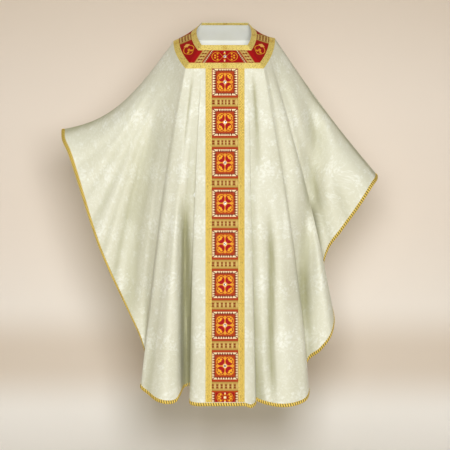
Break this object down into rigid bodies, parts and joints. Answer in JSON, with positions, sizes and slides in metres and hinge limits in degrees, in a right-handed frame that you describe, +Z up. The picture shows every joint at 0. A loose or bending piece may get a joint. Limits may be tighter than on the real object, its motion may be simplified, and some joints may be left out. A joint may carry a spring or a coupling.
{
  "type": "chasuble",
  "caption": "Gothic chasuble of ivory damask with a square neck band, a woven red and gold orphrey down front and back, and a gold braid edge, hanging as worn.",
  "frame": {"origin": "centre of the neck opening, level with the shoulder seams, where the garment rests on the wearer", "axes": "+Z up, -Y towards the side that the front panel faces, +X to the right of someone looking at the front"},
  "size_m": [1.061, 0.3789, 1.2879],
  "materials": {
    "damask": "satin",
    "lining": "satin",
    "orphrey": "woven",
    "galloon": "metallic thread",
    "edge_braid": "metallic thread",
    "crystal": "faceted"
  },
  "bodies": {
    "root": {"front_panel": "damask", "front_lining": "lining", "front_edge_braid": "edge_braid", "front_orphrey": "orphrey", "front_galloon_left": "galloon", "front_galloon_right": "galloon", "back_panel": "damask", "back_lining": "lining", "back_edge_braid": "edge_braid", "back_orphrey": "orphrey", "back_galloon_left": "galloon", "back_galloon_right": "galloon", "neck_inner_galloon_front": "galloon", "neck_band_front": "orphrey", "neck_outer_galloon_front": "galloon", "neck_inner_galloon_right": "galloon", "neck_band_right": "orphrey", "neck_outer_galloon_right": "galloon", "neck_inner_galloon_back": "galloon", "neck_band_back": "orphrey", "neck_outer_galloon_back": "galloon", "neck_inner_galloon_left": "galloon", "neck_band_left": "orphrey", "neck_outer_galloon_left": "galloon", "front_crystal_neck": "crystal", "front_crystal_1": "crystal", "front_crystal_2": "crystal", "front_crystal_3": "crystal", "front_crystal_4": "crystal", "front_crystal_5": "crystal", "front_crystal_6": "crystal", "front_crystal_7": "crystal", "front_crystal_8": "crystal", "back_crystal_neck": "crystal", "back_crystal_1": "crystal", "back_crystal_2": "crystal", "back_crystal_3": "crystal", "back_crystal_4": "crystal", "back_crystal_5": "crystal", "back_crystal_6": "crystal", "back_crystal_7": "crystal", "back_crystal_8": "crystal"}
  },
  "joints": []
}
